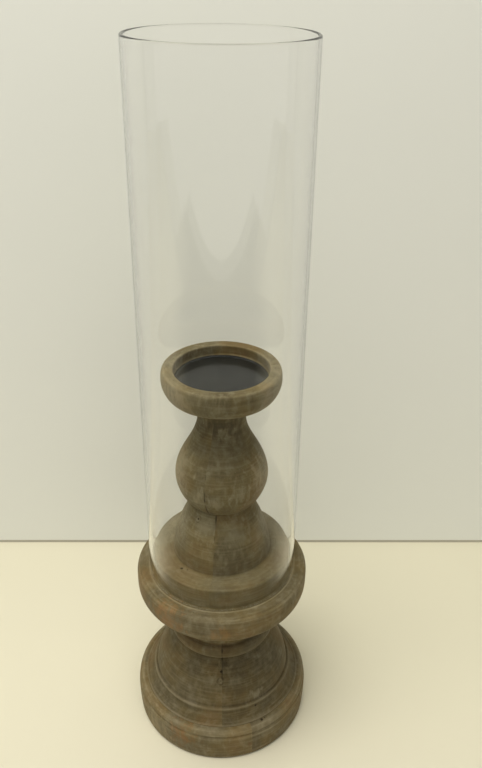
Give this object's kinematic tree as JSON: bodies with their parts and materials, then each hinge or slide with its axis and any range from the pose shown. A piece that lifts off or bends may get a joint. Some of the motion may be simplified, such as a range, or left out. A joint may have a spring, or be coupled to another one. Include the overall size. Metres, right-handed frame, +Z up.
{
  "type": "hurricane candle holder",
  "caption": "Free-standing hurricane candle holder: turned weathered wood stand with a candle cup, a lift-out black drip pan and a tall open glass cylinder that lifts off.",
  "frame": {"origin": "on the floor under the stand's axis, at the middle of the felt's underside", "axes": "+Z up along the turning axis, -Y towards the viewer of the front, +X to the right"},
  "size_m": [0.1888, 0.1888, 0.704],
  "materials": {
    "weathered_wood": "grey-brown wash rubbed back on turned wood, matt",
    "black_metal": "smooth black enamel, semi-gloss",
    "clear_glass": "clear, polished rims",
    "zinc_steel": "bright zinc plate",
    "dowel_wood": "plain fluted hardwood, unfinished",
    "felt": "dark self-adhesive felt"
  },
  "bodies": {
    "stand": {"felt_disc": "felt", "plinth_left": "weathered_wood", "plinth_right": "weathered_wood", "pedestal_left": "weathered_wood", "pedestal_right": "weathered_wood", "gallery_ring": "weathered_wood", "shoulder_left": "weathered_wood", "shoulder_right": "weathered_wood", "baluster_left": "weathered_wood", "baluster_right": "weathered_wood", "candle_cup": "weathered_wood", "tie_rod": "zinc_steel", "lower_washer": "zinc_steel", "lower_nut": "zinc_steel", "upper_washer": "zinc_steel", "upper_nut": "zinc_steel", "large_dowels": "dowel_wood", "small_dowels": "dowel_wood"},
    "glass": {"glass_cylinder": "clear_glass"},
    "pan": {"drip_pan": "black_metal"}
  },
  "joints": [
    {"name": "glass_lift", "type": "slide", "parent": "stand", "child": "glass", "axis": [0, 0, 1], "range_m": [0, 0.24]},
    {"name": "pan_lift", "type": "slide", "parent": "stand", "child": "pan", "axis": [0, 0, 1], "range_m": [0, 0.3]}
  ]
}
